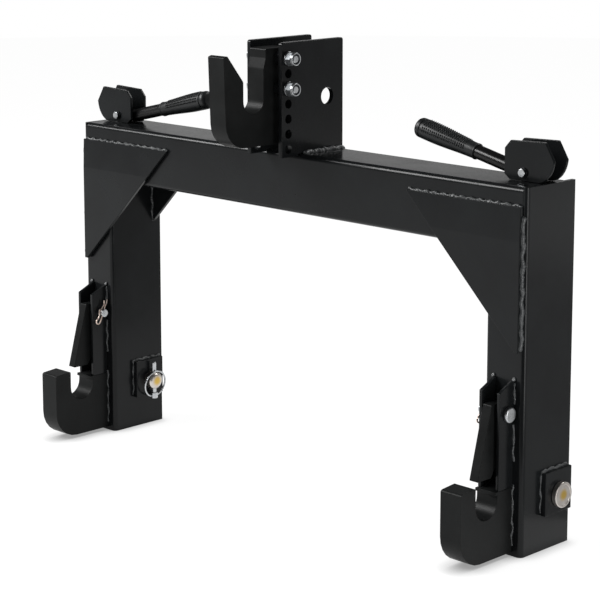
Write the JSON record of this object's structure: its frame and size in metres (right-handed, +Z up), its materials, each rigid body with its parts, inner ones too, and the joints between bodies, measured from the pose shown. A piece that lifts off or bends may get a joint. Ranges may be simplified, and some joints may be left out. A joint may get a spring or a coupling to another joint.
{
  "type": "three point quick hitch",
  "caption": "Arched black steel hitch frame with an open top hook, latching lower hooks worked by cam levers, and link pins on its legs.",
  "frame": {"origin": "on the floor at the middle of the bounding box", "axes": "+X along the beam, hooks on the -Y side, tractor on the +Y side, +Z up"},
  "size_m": [0.7642, 0.1885, 0.5418],
  "materials": {
    "black_powder_coat": "satin black powder coat",
    "bright_zinc": "bright zinc plate",
    "copper_wire": "copper flashed spring wire",
    "black_rubber": "moulded rubber with a fine grip pattern",
    "black_oxide_steel": "oiled black oxide"
  },
  "bodies": {
    "frame": {"top_beam": "black_powder_coat", "top_hook": "black_powder_coat", "hook_bolt_1": "bright_zinc", "hook_bolt_2": "bright_zinc", "hook_nut_1": "bright_zinc", "hook_nut_2": "bright_zinc", "left_leg": "black_powder_coat", "left_front_gusset": "black_powder_coat", "left_rear_gusset": "black_powder_coat", "left_mast_plate": "black_powder_coat", "left_lower_hook": "black_powder_coat", "left_inner_latch_cheek": "black_powder_coat", "left_outer_latch_cheek": "black_powder_coat", "left_inner_pin_boss": "black_powder_coat", "left_outer_pin_boss": "black_powder_coat", "left_hook_bush_1": "black_powder_coat", "left_hook_bush_2": "black_powder_coat", "left_hook_washer_1": "bright_zinc", "left_hook_washer_2": "bright_zinc", "left_clevis_pin": "bright_zinc", "left_lower_link_pin": "bright_zinc", "left_lynch_pin": "bright_zinc", "left_hairpin_clip": "copper_wire", "right_leg": "black_powder_coat", "right_front_gusset": "black_powder_coat", "right_rear_gusset": "black_powder_coat", "right_mast_plate": "black_powder_coat", "right_lower_hook": "black_powder_coat", "right_inner_latch_cheek": "black_powder_coat", "right_outer_latch_cheek": "black_powder_coat", "right_inner_pin_boss": "black_powder_coat", "right_outer_pin_boss": "black_powder_coat", "right_hook_bush_1": "black_powder_coat", "right_hook_bush_2": "black_powder_coat", "right_hook_washer_1": "bright_zinc", "right_hook_washer_2": "bright_zinc", "right_clevis_pin": "bright_zinc", "right_lower_link_pin": "bright_zinc", "right_lynch_pin": "bright_zinc", "right_hairpin_clip": "copper_wire"},
    "left_pull_rod": {"left_pull_rod": "black_oxide_steel", "left_pull_rod_pin": "bright_zinc"},
    "left_lever": {"left_front_cam_plate": "black_powder_coat", "left_rear_cam_plate": "black_powder_coat", "left_lever_rod": "black_powder_coat", "left_lever_grip": "black_rubber", "left_cam_pin": "bright_zinc", "left_cam_pin_ring": "black_oxide_steel"},
    "left_latch_dog": {"left_latch_dog": "black_powder_coat"},
    "left_lynch_ring": {"left_lynch_ring": "bright_zinc"},
    "right_pull_rod": {"right_pull_rod": "black_oxide_steel", "right_pull_rod_pin": "bright_zinc"},
    "right_lever": {"right_front_cam_plate": "black_powder_coat", "right_rear_cam_plate": "black_powder_coat", "right_lever_rod": "black_powder_coat", "right_lever_grip": "black_rubber", "right_cam_pin": "bright_zinc", "right_cam_pin_ring": "black_oxide_steel"},
    "right_latch_dog": {"right_latch_dog": "black_powder_coat"},
    "right_lynch_ring": {"right_lynch_ring": "bright_zinc"}
  },
  "joints": [
    {"name": "left_lever_swing", "type": "hinge", "parent": "left_pull_rod", "child": "left_lever", "pos_m": [-0.3374, 0.05615, 0.4184], "axis": [0, -1, 0], "range_deg": [0, 95]},
    {"name": "left_pull_rod_lift", "type": "slide", "parent": "frame", "child": "left_pull_rod", "axis": [0, 0, 1], "range_m": [0, 0.0334]},
    {"name": "left_latch_swing", "type": "hinge", "parent": "frame", "child": "left_latch_dog", "pos_m": [-0.3415, 0.00025, 0.162], "axis": [1, 0, 0], "range_deg": [0, 34]},
    {"name": "left_ring_swing", "type": "hinge", "parent": "frame", "child": "left_lynch_ring", "pos_m": [-0.3007, 0.06825, 0.0415], "axis": [0, 1, 0], "range_deg": [0, 165]},
    {"name": "right_lever_swing", "type": "hinge", "parent": "right_pull_rod", "child": "right_lever", "pos_m": [0.3374, 0.05615, 0.4184], "axis": [0, 1, 0], "range_deg": [0, 95]},
    {"name": "right_pull_rod_lift", "type": "slide", "parent": "frame", "child": "right_pull_rod", "axis": [0, 0, 1], "range_m": [0, 0.0334]},
    {"name": "right_latch_swing", "type": "hinge", "parent": "frame", "child": "right_latch_dog", "pos_m": [0.3415, 0.00025, 0.162], "axis": [1, 0, 0], "range_deg": [0, 34]},
    {"name": "right_ring_swing", "type": "hinge", "parent": "frame", "child": "right_lynch_ring", "pos_m": [0.3007, 0.06825, 0.0415], "axis": [0, -1, 0], "range_deg": [0, 165]}
  ],
  "couplings": [
    {"joint": "left_pull_rod_lift", "follows": "left_lever_swing", "m_per_rad": 0.0201},
    {"joint": "left_latch_swing", "follows": "left_lever_swing", "ratio": 0.34945},
    {"joint": "right_pull_rod_lift", "follows": "right_lever_swing", "m_per_rad": 0.0201},
    {"joint": "right_latch_swing", "follows": "right_lever_swing", "ratio": 0.34945}
  ]
}
